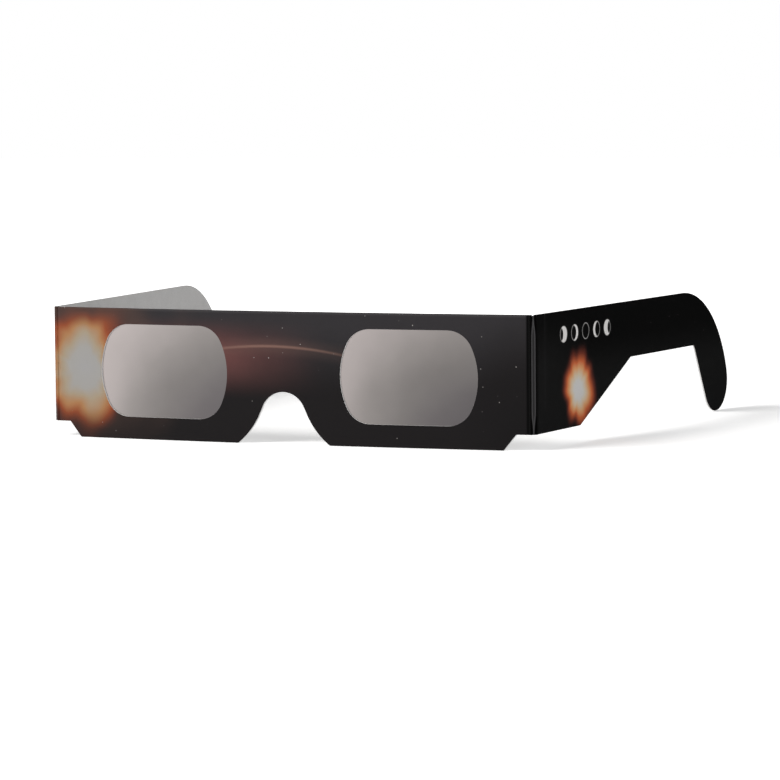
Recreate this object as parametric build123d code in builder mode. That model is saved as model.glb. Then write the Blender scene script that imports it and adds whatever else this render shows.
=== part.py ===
from build123d import *

import os
from math import asin, cos, degrees, radians, sin, sqrt

os.makedirs("parts", exist_ok=True)

# Paper eclipse viewing glasses. They stand on a table on the two lobes of the front and on the two
# ear hooks. +X is to the right of someone facing the print, -Y is towards the sun, +Z is up, and
# the origin is on the table at the middle of the open glasses. Lengths are millimetres.

# Card, film, and the bevels of the folded top edge as a share of its half thickness
card = 0.40
film = 0.10
fold_bevel_share = 0.58
overrun = 1.0

# Front: its height and its span are the windows plus the margins of card round them
window_width = 38.2
window_height = 25.0
window_corner = 7.2
window_side_radius = 20.0
window_ease = 0.3
top_margin = 4.3
bottom_margin = 6.0
side_margin = 14.1
bridge = 32.8
bow = 3.0

# Ends of the front, where the lower edge steps up to the creases
end_rise = 4.2
end_tab = 3.9
step_run = 3.4

# Nose notch: a round arch on short straight flanks that flare out to the feet
notch_width = 26.7
notch_height = 13.9
notch_arch = 6.5
notch_flank = 2.2
flank_slant = 24.5

# Filter films, trapped between the card and its folded flap
film_overlap = 3.9
flap_margin = 2.5
glue_margin = 0.6

# Double crease at each end: a narrow strip between two rolled beads that both panels turn about
crease_pitch = 1.4
bead_radius = 0.28
bead_taper = 6.0
bead_clearance = 0.05

# Temples, laid out along their length from the outer crease
temple_length = 130.2
temple_band = 15.3
temple_root = 27.3
temple_slope_run = 33.4
temple_splay = 4.8
hook_back_radius = 34.0
hook_tip_radius = 8.6
hook_reach = 24.9
hook_corner_fillet = 1.0
root_fillet = 1.6

# Derived sizes of the front
front_height = top_margin + window_height + bottom_margin
window_centre_x = (bridge + window_width) / 2
window_centre_z = bottom_margin + window_height / 2
front_half = window_centre_x + window_width / 2 + side_margin
laminate = 2 * card + film
fold_radius = laminate / 2
flap_half = front_half - flap_margin

# The front is bent to one large arc, so every layer of it is a ring about the same upright line
middle_radius = (front_half**2 + bow**2) / (2 * bow)
card_front = middle_radius + card / 2
card_back = card_front - card
film_back = card_back - film
flap_back = film_back - card
end_angle = degrees(asin(front_half / middle_radius))

# Creases: the turn from front to temple is shared equally by the two beads of each strip
crease_fold = (90 - temple_splay - end_angle) / 2
strip_angle = end_angle + crease_fold
strip_run_x = crease_pitch * cos(radians(strip_angle))
strip_run_y = crease_pitch * sin(radians(strip_angle))
seat_radius = bead_radius + bead_clearance

# The origin is halfway between the foremost point of the front and the backs of the hooks
foremost = -bow - card / 2
rearmost = strip_run_y + temple_length * cos(radians(temple_splay))
rearmost += card / 2 * sin(radians(temple_splay))
crease_y = -(foremost + rearmost) / 2
bow_centre_y = crease_y + sqrt(middle_radius**2 - front_half**2)
bow_centre = (0, bow_centre_y, 0)


# One window's outline: flat top and bottom, round corners and gently bulging sides
def window_outline(centre_x, ease):
    half_width = window_width / 2 + ease
    half_height = window_height / 2 + ease
    corner = window_corner + ease
    side = window_side_radius + ease
    drop = half_height - corner
    reach = sqrt((side - corner) ** 2 - drop**2)
    flat = half_width - side + reach
    meet_x = half_width - side + side * reach / (side - corner)
    meet_z = side * drop / (side - corner)
    with BuildSketch() as window:
        with BuildLine():
            Line((0, half_height), (flat, half_height))
            turn = TangentArc((flat, half_height), (meet_x, meet_z), tangent=(1, 0))
            bulge = TangentArc((meet_x, meet_z), (meet_x, -meet_z), tangent=turn % 1)
            TangentArc((meet_x, -meet_z), (flat, -half_height), tangent=bulge % 1)
            Line((flat, -half_height), (0, -half_height))
            mirror(about=Plane.YZ)
        make_face()
    return window.sketch.moved(Location((centre_x, window_centre_z)))


# Outline of the front or of its flap: half_span to each side of the middle, its top at top_z
def front_outline(half_span, top_z, ease):
    step_x = front_half - end_tab
    slant = radians(flank_slant)
    arch_end = (notch_arch * cos(slant), notch_height - notch_arch * (1 - sin(slant)))
    flank_end = (arch_end[0] + notch_flank * sin(slant), arch_end[1] - notch_flank * cos(slant))
    with BuildSketch() as outline:
        with BuildLine():
            Polyline(
                (0, top_z),
                (half_span, top_z),
                (half_span, end_rise),
                (step_x, end_rise),
                (step_x - step_run, 0),
                (notch_width / 2, 0),
            )
            TangentArc(flank_end, (notch_width / 2, 0), tangent=(sin(slant), -cos(slant)))
            Line(flank_end, arch_end)
            TangentArc((0, notch_height), arch_end, tangent=(1, 0))
            mirror(about=Plane.YZ)
        make_face()
        for side in (-1, 1):
            add(window_outline(side * window_centre_x, ease), mode=Mode.SUBTRACT)
    return outline.sketch


# Both films' rectangles, or one of them
def film_outline(sides):
    width = window_width + 2 * film_overlap
    height = window_height + film_overlap
    with BuildSketch() as films:
        with Locations(*[(side * window_centre_x, window_centre_z) for side in sides]):
            Rectangle(width, height)
    return films.sketch


# Ring of card, film or glue between two radii, about the line that the front is bent round
def bent_layer(outer, inner):
    with BuildPart() as ring:
        with BuildSketch(Plane(bow_centre)):
            Circle(outer)
            Circle(inner, mode=Mode.SUBTRACT)
        extrude(amount=front_height)
    return ring.part


sketch_plane = Plane.XZ.offset(-crease_y)
sketch_depth = bow + laminate + overrun
card_outline = front_outline(front_half, front_height, 0)
flap_outline = front_outline(flap_half, front_height - fold_radius, window_ease)

# Printed front panel, with the seats of the inner creases and room for the folded top edge
with BuildPart() as front_panel:
    with BuildSketch(sketch_plane):
        add(card_outline)
    extrude(amount=sketch_depth, both=True)
    add(bent_layer(card_front, card_back), mode=Mode.INTERSECT)
    with BuildSketch(sketch_plane):
        with Locations((0, front_height)):
            Rectangle(2 * flap_half, 2 * fold_radius)
    extrude(amount=sketch_depth, both=True, mode=Mode.SUBTRACT)
    with BuildSketch(Plane.XY):
        with Locations((-front_half, crease_y), (front_half, crease_y)):
            Circle(seat_radius)
    extrude(amount=front_height, mode=Mode.SUBTRACT)
front_panel.part.label = "front_panel"
export_step(front_panel.part, "parts/front_panel.step")

# Flap of the same card, folded down behind the films
with BuildPart() as liner_flap:
    with BuildSketch(sketch_plane):
        add(flap_outline)
    extrude(amount=sketch_depth, both=True)
    add(bent_layer(film_back, flap_back), mode=Mode.INTERSECT)
liner_flap.part.label = "liner_flap"
export_step(liner_flap.part, "parts/liner_flap.step")

# Folded top edge that joins the panel to the flap, pressed down hard, with a bevel along each side
with BuildPart() as top_fold:
    add(bent_layer(card_front, flap_back))
    with BuildSketch(sketch_plane):
        with Locations((0, front_height)):
            Rectangle(2 * flap_half, 2 * fold_radius)
    extrude(amount=sketch_depth, both=True, mode=Mode.INTERSECT)
    crest = top_fold.faces().sort_by(Axis.Z)[-1]
    chamfer(crest.edges().filter_by(GeomType.CIRCLE), fold_bevel_share * fold_radius)
top_fold.part.label = "top_fold"
export_step(top_fold.part, "parts/top_fold.step")

# Glue between panel and flap: all over but where the films lie, and short of the cut edges
with BuildPart() as glue_layer:
    with BuildSketch(sketch_plane):
        add(flap_outline)
        offset(amount=-glue_margin, kind=Kind.INTERSECTION)
        add(film_outline((-1, 1)), mode=Mode.SUBTRACT)
    extrude(amount=sketch_depth, both=True)
    add(bent_layer(card_back, film_back), mode=Mode.INTERSECT)
glue_layer.part.label = "glue_layer"
export_step(glue_layer.part, "parts/glue_layer.step")

# Half of a bead's profile, from its centre line outwards: full in the middle, slim at both ends
def bead_profile():
    with BuildSketch() as half_bead:
        with BuildLine():
            Polyline(
                (0, end_rise),
                (card / 2, end_rise),
                (bead_radius, end_rise + bead_taper),
                (bead_radius, front_height - bead_taper),
                (card / 2, front_height),
                (0, front_height),
                close=True,
            )
        make_face()
    return half_bead.sketch


# Temple laid flat, with x along it from the outer crease: a deep root, a sloping step up to the
# band, and a hook whose round back runs into a smaller round tip
def temple_outline():
    tip_centre = Vector(temple_length - hook_tip_radius, hook_tip_radius)
    gap_radius = hook_back_radius - hook_tip_radius
    back_rise = tip_centre.Y - (front_height - hook_back_radius)
    back_run = sqrt(gap_radius**2 - back_rise**2)
    back_start = (tip_centre.X - back_run, front_height)
    tip_share = hook_tip_radius / gap_radius
    tip_start = (tip_centre.X + tip_share * back_run, tip_centre.Y + tip_share * back_rise)
    hook_corner = Vector(temple_length - hook_reach, front_height - temple_band)
    to_tip = tip_centre - hook_corner
    inner_turn = degrees(asin(hook_tip_radius / to_tip.length))
    inner_length = sqrt(to_tip.length**2 - hook_tip_radius**2)
    tip_end = hook_corner + to_tip.normalized().rotate(Axis.Z, -inner_turn) * inner_length
    root_end = Vector(temple_root, end_rise)
    with BuildSketch() as outline:
        with BuildLine():
            Line((0, front_height), back_start)
            back = TangentArc(back_start, tip_start, tangent=(1, 0))
            TangentArc(tip_start, tip_end, tangent=back % 1)
            Polyline(
                tip_end,
                hook_corner,
                (temple_root + temple_slope_run, front_height - temple_band),
                root_end,
                (0, end_rise),
                (0, front_height),
            )
        make_face()
        for corner, radius in ((hook_corner, hook_corner_fillet), (root_end, root_fillet)):
            fillet(outline.vertices().sort_by_distance(corner)[0], radius)
    return outline.sketch


for side, sign in (("left", -1), ("right", 1)):
    # Filter film over one eye
    with BuildPart() as filter_film:
        with BuildSketch(sketch_plane):
            add(film_outline((sign,)))
        extrude(amount=sketch_depth, both=True)
        add(bent_layer(card_back, film_back), mode=Mode.INTERSECT)
    filter_film.part.label = f"{side}_filter_film"
    export_step(filter_film.part, f"parts/{side}_filter_film.step")

    # Crease strip: a web of card between two beads that the front and the temple turn about
    strip_dir = (sign * cos(radians(strip_angle)), sin(radians(strip_angle)), 0)
    strip_normal = (strip_dir[1], -strip_dir[0], 0)
    inner_foot = (sign * front_half, crease_y, 0)
    outer_foot = (sign * (front_half + strip_run_x), crease_y + strip_run_y, 0)
    with BuildPart() as crease_strip:
        with BuildSketch(Plane(inner_foot, x_dir=strip_dir).offset(end_rise)):
            Rectangle(crease_pitch, card, align=(Align.MIN, Align.CENTER))
        extrude(amount=front_height - end_rise)
        for foot in (inner_foot, outer_foot):
            with BuildSketch(Plane(foot, x_dir=strip_dir, z_dir=strip_normal)):
                add(bead_profile())
            revolve(axis=Axis(foot, (0, 0, 1)))
    crease_strip.part.label = f"{side}_crease_strip"
    export_step(crease_strip.part, f"parts/{side}_crease_strip.step")

    # Temple, hollow along the edge that turns about the outer bead
    splay = radians(temple_splay)
    along = (sign * sin(splay), cos(splay), 0)
    across = (cos(splay), -sign * sin(splay), 0)
    with BuildPart() as temple:
        with BuildSketch(Plane(outer_foot, x_dir=along, z_dir=across)):
            add(temple_outline())
        extrude(amount=card / 2, both=True)
        with BuildSketch(Plane(outer_foot)):
            Circle(seat_radius)
        extrude(amount=front_height, mode=Mode.SUBTRACT)
    temple.part.label = f"{side}_temple"
    export_step(temple.part, f"parts/{side}_temple.step")
    print(side, "inner crease at", inner_foot, "outer crease at", outer_foot)

print("fold at each crease", crease_fold, "end angle", end_angle, "height", front_height)
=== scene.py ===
"""Paper eclipse viewing glasses: the looks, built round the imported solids. Lengths are metres."""

import math

import bmesh
import bpy
import numpy as np
from mathutils import Matrix, Vector


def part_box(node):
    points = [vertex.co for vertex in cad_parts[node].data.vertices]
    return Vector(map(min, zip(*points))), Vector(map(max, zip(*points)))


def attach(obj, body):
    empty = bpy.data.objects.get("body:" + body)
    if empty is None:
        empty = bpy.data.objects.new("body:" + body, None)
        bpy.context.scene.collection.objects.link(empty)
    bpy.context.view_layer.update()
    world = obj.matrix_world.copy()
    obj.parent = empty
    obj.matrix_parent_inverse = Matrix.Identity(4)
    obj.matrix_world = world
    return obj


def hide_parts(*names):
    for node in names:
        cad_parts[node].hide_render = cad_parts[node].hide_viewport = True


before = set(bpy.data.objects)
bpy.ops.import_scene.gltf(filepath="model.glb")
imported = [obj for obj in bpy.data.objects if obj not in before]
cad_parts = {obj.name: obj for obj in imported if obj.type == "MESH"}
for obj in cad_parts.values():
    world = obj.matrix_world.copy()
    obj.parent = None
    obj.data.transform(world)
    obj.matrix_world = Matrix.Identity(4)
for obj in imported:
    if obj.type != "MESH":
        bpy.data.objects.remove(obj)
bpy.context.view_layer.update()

MM = 0.001
UP = np.array([0.0, 0.0, 1.0])

# Card and film
CARD = 0.40 * MM
FILM = 0.10 * MM
FOLD_RADIUS = CARD + FILM / 2
CUT_ROUNDING = 0.05 * MM
CUT_STEPS = 2
CUT_ANGLE = math.radians(50)
WELD = 0.004 * MM

# Front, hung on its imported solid: a bow of 3 mm between the two inner creases
BOW = 3.0 * MM
FRONT_HALF = 68.7 * MM
front_low, front_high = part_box("front_panel")
FRONT_HEIGHT = front_high.z
MIDDLE_RADIUS = (FRONT_HALF**2 + BOW**2) / (2 * BOW)
BOW_CENTRE_Y = front_low.y + CARD / 2 + MIDDLE_RADIUS
CREASE_Y = BOW_CENTRE_Y - math.sqrt(MIDDLE_RADIUS**2 - FRONT_HALF**2)
FLAP_SHORTER = 2.5 * MM
FLAP_HALF = FRONT_HALF - FLAP_SHORTER
FLAP_REAR = CARD / 2 - 2 * FOLD_RADIUS
FOLD_Z = FRONT_HEIGHT - FOLD_RADIUS

# Windows
WINDOW_CENTRE = np.array([35.5, 18.5]) * MM
WINDOW_HALF = np.array([19.1, 12.5]) * MM
WINDOW_CORNER = 7.2 * MM
WINDOW_SIDE = 20.0 * MM
WINDOW_EASE = 0.3 * MM
FILM_OVERLAP = np.array([3.9, 1.95]) * MM
LEAST_SLOPE = 0.001

# Lower edge of the front: raised ends, a short slope, and the bell of the nose notch
END_RISE = 4.2 * MM
END_TAB = 3.9 * MM
STEP_RUN = 3.4 * MM
NOTCH_HALF = 13.35 * MM
NOTCH_HEIGHT = 13.9 * MM
NOTCH_ARCH = 6.5 * MM
NOTCH_FLANK = 2.2 * MM
FLANK_SLANT = math.radians(24.5)

# Double creases: two scored lines with a narrow strip between, slim at its ends
CREASE_PITCH = 1.4 * MM
BEAD_RADIUS = 0.28 * MM
BEAD_END = 0.255 * MM
BEAD_TAPER = 6.0 * MM
SEAT_RADIUS = 0.33 * MM
CARD_END = math.sqrt(SEAT_RADIUS**2 - (CARD / 2) ** 2)
RIDGE_RISE = 0.13 * MM
RIDGE_WIDTH = 0.20 * MM
RIDGE_PARTING = 0.42 * MM
STRIP_DIP = 0.30 * MM
DIP_POWER = 3
SINK_DEPTH = 0.16 * MM
SINK_WIDTH = 0.45 * MM
SINK_PLACE = 0.15 * MM
CLOSE_STEPS = np.array([0, 0.10, 0.20, 0.30, 0.42, 0.56, 0.75, 1.0, 1.3]) * MM

# Temples, laid out along their length from the outer crease
TEMPLE_LENGTH = 130.2 * MM
TEMPLE_BAND = 15.3 * MM
TEMPLE_ROOT = 27.3 * MM
TEMPLE_SLOPE_RUN = 33.4 * MM
TEMPLE_SPLAY = math.radians(4.8)
TEMPLE_TURN = 92.0 * MM
HOOK_BACK_RADIUS = 34.0 * MM
HOOK_TIP_RADIUS = 8.6 * MM
HOOK_REACH = 24.9 * MM
ROOT_FILLET = 1.6 * MM
SLOPE_FILLET = 0.6 * MM
HOOK_FILLET = 1.0 * MM

STRIP_ANGLE = (math.pi / 2 - TEMPLE_SPLAY + math.asin(FRONT_HALF / MIDDLE_RADIUS)) / 2
SIDES = (("left", -1), ("right", 1))


# Flat outlines

def straight(start, end, count):
    """Points from start to just before end, evenly spaced on the straight line between them."""
    share = np.linspace(0, 1, count, endpoint=False)[:, None]
    return np.array(start) * (1 - share) + np.array(end) * share


def tangent_arc(start, way, end, count):
    """Points from start to just before end on the circle that leaves start along way. Its centre
    stands square to way, by the chord's squared length over twice the chord's sideways part."""
    start, end, way = np.array(start), np.array(end), np.array(way)
    chord = end - start
    sideways = np.array([-way[1], way[0]])
    arm = -sideways * (chord @ chord) / (2 * (sideways @ chord))
    sweep = 2 * math.atan2(way[0] * chord[1] - way[1] * chord[0], way @ chord)
    angle = (sweep * np.linspace(0, 1, count, endpoint=False))[:, None]
    quarter_turned = np.array([-arm[1], arm[0]])
    return start - arm + arm * np.cos(angle) + quarter_turned * np.sin(angle)


def filleted(start, corner, end, radius, counts):
    """Straight run, arc of the given radius round the corner, straight run, up to just before end.
    The arc touches both runs at the radius times the tangent of half the turn from the corner."""
    start, corner, end = np.array(start), np.array(corner), np.array(end)
    into = (corner - start) / np.linalg.norm(corner - start)
    out = (end - corner) / np.linalg.norm(end - corner)
    setback = radius * math.tan(math.acos(into @ out) / 2)
    arc_start, arc_end = corner - into * setback, corner + out * setback
    return np.vstack([
        straight(start, arc_start, counts[0]),
        tangent_arc(arc_start, into, arc_end, counts[1]),
        straight(arc_end, end, counts[2]),
    ])


def level_run(x, z):
    """Points at the given x places, all at one height."""
    return np.stack([x, np.full_like(x, z)], axis=1)


# How many points each stretch of the front's outline has
ARCH_POINTS = 18
FLANK_POINTS = 3
FLARE_POINTS = 16
FOOT_POINTS = 36
STEP_POINTS = 6
TAB_POINTS = 3
END_POINTS = 26
MIDDLE_POINTS = 16


def half_outline(span, top):
    """Outline of the right half of the front or of its flap, anticlockwise from the top of the nose
    notch: arch, straight flank, flare, foot, sloping step, raised end, the given top, middle line."""
    slant = np.array([math.sin(FLANK_SLANT), -math.cos(FLANK_SLANT)])
    arch_top = (0, NOTCH_HEIGHT)
    arch_end = np.array([
        NOTCH_ARCH * math.cos(FLANK_SLANT),
        NOTCH_HEIGHT - NOTCH_ARCH * (1 - math.sin(FLANK_SLANT)),
    ])
    flank_end = arch_end + NOTCH_FLANK * slant
    foot = (NOTCH_HALF, 0)
    step_top = (FRONT_HALF - END_TAB, END_RISE)
    step_foot = (step_top[0] - STEP_RUN, 0)
    return np.vstack([
        tangent_arc(arch_top, (1, 0), arch_end, ARCH_POINTS),
        straight(arch_end, flank_end, FLANK_POINTS),
        tangent_arc(flank_end, slant, foot, FLARE_POINTS),
        straight(foot, step_foot, FOOT_POINTS),
        straight(step_foot, step_top, STEP_POINTS),
        straight(step_top, (span - CLOSE_STEPS[-1], END_RISE), TAB_POINTS),
        level_run(span - CLOSE_STEPS[:0:-1], END_RISE),
        straight((span, END_RISE), (span, top[0, 1]), END_POINTS),
        top,
        straight((0, FOLD_Z), arch_top, MIDDLE_POINTS),
    ])


def window_points(outline, ease):
    """Where the rays from the window's centre to the outline cross the window's own edge: its flat
    top or bottom, a round corner, or a bulging side, by the slope of the ray."""
    ray = outline - WINDOW_CENTRE
    unit = np.abs(ray) / np.linalg.norm(ray, axis=1)[:, None]
    half_width, half_height = WINDOW_HALF + ease
    corner, side = WINDOW_CORNER + ease, WINDOW_SIDE + ease
    drop = half_height - corner
    reach = math.sqrt((side - corner) ** 2 - drop**2)
    side_centre = np.array([half_width - side, 0])
    corner_centre = side_centre + np.array([reach, drop])
    meet = side_centre + np.array([reach, drop]) * side / (side - corner)

    def to_circle(centre, radius):
        along = unit @ centre
        return along + np.sqrt(along**2 - centre @ centre + radius**2)

    slope = np.arctan2(unit[:, 1], unit[:, 0])
    on_side = slope < math.atan2(meet[1], meet[0])
    on_corner = slope < math.atan2(half_height, corner_centre[0])
    flat = half_height / np.maximum(unit[:, 1], LEAST_SLOPE)
    bend = np.where(on_corner, to_circle(corner_centre, corner), flat)
    distance = np.where(on_side, to_circle(side_centre, side), bend)
    return WINDOW_CENTRE + np.sign(ray) * unit * distance[:, None]


# Meshes

def grid_faces(columns, rows, closed=False):
    """Four-cornered faces of a grid whose point (column, row) has the number column * rows + row.
    Where it is closed, the last column joins the first."""
    column = np.arange(columns if closed else columns - 1)[:, None]
    row = np.arange(rows - 1)[None, :]
    here = column * rows + row
    there = (column + 1) % columns * rows + row
    return np.stack([here, there, there + 1, here + 1], -1).reshape(-1, 4)


def sheet_of(name, surfaces, materials):
    """One mesh object from several (points, faces) surfaces, welded where their points meet."""
    points = np.vstack([p.reshape(-1, 3) for p, faces in surfaces])
    starts = np.cumsum([0] + [p.size // 3 for p, faces in surfaces])
    faces = np.vstack([f + start for (p, f), start in zip(surfaces, starts)])
    mesh = bpy.data.meshes.new(name)
    mesh.from_pydata(points.tolist(), [], faces.tolist())
    welded = bmesh.new()
    welded.from_mesh(mesh)
    bmesh.ops.remove_doubles(welded, verts=welded.verts, dist=WELD)
    bmesh.ops.dissolve_degenerate(welded, edges=welded.edges, dist=WELD)
    welded.to_mesh(mesh)
    welded.free()
    mesh.polygons.foreach_set("use_smooth", np.ones(len(mesh.polygons), bool))
    for material in materials:
        mesh.materials.append(material)
    piece = bpy.data.objects.new(name, mesh)
    bpy.context.scene.collection.objects.link(piece)
    return piece


# The wall's direction, and where a piece's list of sides has its inner side and its cut edge
INWARDS = -1
INNER_SIDE = 1
CUT_EDGE = 2


def give_thickness(piece, thickness):
    """A wall inwards from the outer face."""
    wall = piece.modifiers.new("thickness", "SOLIDIFY")
    wall.thickness = thickness
    wall.offset = INWARDS
    return wall


def make_card(piece):
    """A wall of card with a plain inner side, and cut edges rounded by a hair."""
    wall = give_thickness(piece, CARD)
    wall.material_offset = INNER_SIDE
    wall.material_offset_rim = CUT_EDGE
    edge = piece.modifiers.new("cut_edge", "BEVEL")
    edge.width = CUT_ROUNDING
    edge.segments = CUT_STEPS
    edge.limit_method = "ANGLE"
    edge.angle_limit = CUT_ANGLE
    edge.harden_normals = True


def stands_for(piece, body, slot, *nodes):
    """The piece rides on a body and is shown for the nodes. The slot is not used."""
    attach(piece, body)
    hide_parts(*nodes)


# Folded front

FOLD_COLUMNS = 62
FOLD_ROWS = 13
OPEN_ROWS = 12
EDGE_ROWS = 14
EDGE_SHARE = 0.88
END_X = FRONT_HALF - CARD_END
TAB_ROWS = 5
CORNER_RADIUS = 0.30 * MM
PRESS_DIP = 0.03
PRESS_LONG = 9.0 * MM
PRESS_SHORT = 2.3 * MM


def bent(x, z, outwards):
    """Places on the bowed front: an upright cylinder that passes outwards from the card's middle."""
    radius = MIDDLE_RADIUS + outwards
    return np.stack([x, BOW_CENTRE_Y - np.sqrt(radius**2 - x**2), z], -1)


def sink(distance):
    """How far the card sinks towards its crease, by the distance from its cut end: the full depth
    times exp(-((distance - place) / width)**2)."""
    return SINK_DEPTH * np.exp(-(((distance - SINK_PLACE) / SINK_WIDTH) ** 2))


def fold_line():
    """Evenly spaced points from the flap's end to just before the middle, below the folded edge."""
    return level_run(np.linspace(FLAP_HALF, 0, FOLD_COLUMNS, endpoint=False), FOLD_Z)


def rays(outline, ease, share, mirrored):
    """Straight rays from the window to the outline, stepped by share, for one half or the other."""
    window = window_points(outline, ease)
    flat = window[:, None] + (outline - window)[:, None] * share[None, :, None]
    return (-flat[..., 0] if mirrored else flat[..., 0]), flat[..., 1]


def panel_half(mirrored):
    """Printed face of one half of the front: rays from window to outline, closer together by the
    edge, on the bow, sinking beside the crease."""
    top = np.vstack([level_run(END_X - CLOSE_STEPS, FOLD_Z), fold_line()])
    outline = half_outline(END_X, top)
    near = np.linspace(0, EDGE_SHARE, OPEN_ROWS, endpoint=False)
    share = np.concatenate([near, np.linspace(EDGE_SHARE, 1, EDGE_ROWS)])
    x, z = rays(outline, 0, share, mirrored)
    faces = grid_faces(len(outline), len(share), closed=True)
    points = bent(x, z, CARD / 2 - sink(END_X - np.abs(x)))
    return points, (faces if mirrored else faces[:, ::-1])


def end_tab(mirrored):
    """Corner of the card beside the folded edge: columns from the panel's top line up to the full
    height, which drops by a quarter circle at the cut end."""
    x = np.append(END_X - CLOSE_STEPS, FLAP_HALF)
    inside = np.clip(1 - (END_X - x) / CORNER_RADIUS, 0, 1)
    top = FRONT_HEIGHT - CORNER_RADIUS * (1 - np.sqrt(1 - inside**2))
    share = np.linspace(0, 1, TAB_ROWS)[None, :]
    z = FOLD_Z + (top[:, None] - FOLD_Z) * share
    x = np.broadcast_to(x[:, None], z.shape)
    points = bent(-x if mirrored else x, z, CARD / 2 - sink(END_X - x))
    faces = grid_faces(len(x), TAB_ROWS)
    return points, (faces if mirrored else faces[:, ::-1])


def flap_half(mirrored):
    """Rear face of one half of the flap: rays from window to outline, behind card and film."""
    outline = half_outline(FLAP_HALF, fold_line())
    share = np.linspace(0, 1, OPEN_ROWS)
    x, z = rays(outline, WINDOW_EASE, share, mirrored)
    faces = grid_faces(len(outline), len(share), closed=True)
    return bent(x, z, FLAP_REAR), (faces[:, ::-1] if mirrored else faces)


def fold_over():
    """The bend over the top: half a round carried along the bow, a hair lower here and there where
    the card gave as it was pressed, by the product of a long and a short sine."""
    columns = 2 * FOLD_COLUMNS + 1
    x = np.linspace(-FLAP_HALF, FLAP_HALF, columns)
    turn = np.linspace(0, math.pi, FOLD_ROWS)
    x, turn = np.meshgrid(x, turn, indexing="ij")
    give = 1 - PRESS_DIP * (1 + np.sin(x / PRESS_LONG) * np.sin(x / PRESS_SHORT))
    z = FOLD_Z + FOLD_RADIUS * give * np.sin(turn)
    outwards = CARD / 2 - FOLD_RADIUS * (1 - np.cos(turn))
    return bent(x, z, outwards), grid_faces(columns, FOLD_ROWS)


# Filter films

FILM_COLUMNS = 72
FILM_ROWS = 48
WAVE_DEPTH = 0.05 * MM
HELD_POWER = 4

# Each wave's share of the depth, its turns across and up the film, and its shift from eye to eye
WAVES = (
    (1.0, 3.1, 2.0, 1),
    (0.6, -3.7, 5.3, 0),
    (0.4, 8.3, 0.0, 1),
)


def film_face(sign):
    """Film over one eye: a bent rectangle, with slow crossed sine waves. They die out towards the
    card by 1 less the fourth power of the distance from the window's middle."""
    half = WINDOW_HALF + FILM_OVERLAP
    u, v = np.meshgrid(
        np.linspace(-1, 1, FILM_COLUMNS), np.linspace(-1, 1, FILM_ROWS), indexing="ij",
    )
    x = sign * WINDOW_CENTRE[0] + u * half[0]
    z = WINDOW_CENTRE[1] + v * half[1]
    across = np.abs(u) * half[0] / WINDOW_HALF[0]
    up = np.abs(v) * half[1] / WINDOW_HALF[1]
    free = np.clip(1 - across**HELD_POWER, 0, 1) * np.clip(1 - up**HELD_POWER, 0, 1)
    wave = sum(
        share * np.sin(across_turns * u + up_turns * v + shift * sign)
        for share, across_turns, up_turns, shift in WAVES
    )
    return bent(x, z, -CARD / 2 + WAVE_DEPTH * free * wave), grid_faces(FILM_COLUMNS, FILM_ROWS)


# Crease strips

STRIP_SECTION = 30
STRIP_ROWS = 56


def strip_skins(sign):
    """Printed and bare skin of a crease strip: a section carried upwards. The section is the outer
    envelope of two bead circles and the card between them. On the printed side two fine ridges,
    exp(-(distance / width)**2) high, run together at both ends. The top dips between the creases,
    and a flat fan closes each end."""
    level = (1 - np.cos(np.linspace(0, math.pi, STRIP_ROWS))) / 2
    height = FRONT_HEIGHT - END_RISE
    taper = np.clip(np.minimum(level, 1 - level) * height / BEAD_TAPER, 0, 1)
    bead = (BEAD_END + (BEAD_RADIUS - BEAD_END) * taper)[None, :]
    sweep = np.linspace(0, math.pi, STRIP_SECTION)[:, None]
    middle = CREASE_PITCH / 2
    along = middle - (middle + bead) * np.cos(sweep)
    first = np.sqrt(np.clip(bead**2 - along**2, 0, None))
    last = np.sqrt(np.clip(bead**2 - (along - CREASE_PITCH) ** 2, 0, None))
    between = (along >= 0) & (along <= CREASE_PITCH)
    bare = np.maximum(np.maximum(first, last), np.where(between, CARD / 2, 0))
    from_ridge = np.abs(along - middle) - RIDGE_PARTING * taper[None, :]
    ridge = RIDGE_RISE * np.exp(-((from_ridge / RIDGE_WIDTH) ** 2)) * taper[None, :]
    printed = np.maximum(bare, np.where(between, CARD / 2 + ridge, 0))
    dip = STRIP_DIP * np.sin(math.pi * np.clip(along / CREASE_PITCH, 0, 1)) ** DIP_POWER
    z = END_RISE + level[None, :] * (height - dip)
    run = np.array([sign * math.cos(STRIP_ANGLE), math.sin(STRIP_ANGLE), 0])
    out = np.array([sign * math.sin(STRIP_ANGLE), -math.cos(STRIP_ANGLE), 0])
    foot = np.array([sign * FRONT_HALF, CREASE_Y, 0])

    def closed(values, low, high):
        """The values with one more row below and above, where each fan comes to a point."""
        ends = np.ones((STRIP_SECTION, 1))
        return np.hstack([ends * low, values, ends * high])[..., None]

    def skin(thickness):
        along_run = closed(along, middle, middle) * run
        outwards = closed(thickness, 0, 0) * out
        return foot + along_run + outwards + closed(z, END_RISE, FRONT_HEIGHT - STRIP_DIP) * UP

    faces = grid_faces(STRIP_SECTION, STRIP_ROWS + 2)
    turned = faces[:, ::-1]
    return [
        (skin(printed), faces if sign > 0 else turned),
        (skin(-bare), turned if sign > 0 else faces),
    ]


# Temples

TEMPLE_ROWS = 13

# How many points each stretch of a temple's lower edge has: run, fillet, run. The hook's two edges
# have the same number of points
ROOT_POINTS = (20, 5, 12)
SLOPE_POINTS = (12, 4, 22)
HOOK_POINTS = (20, 6, 18)
TURN_POINTS = 5
TIP_POINTS = 12


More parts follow.
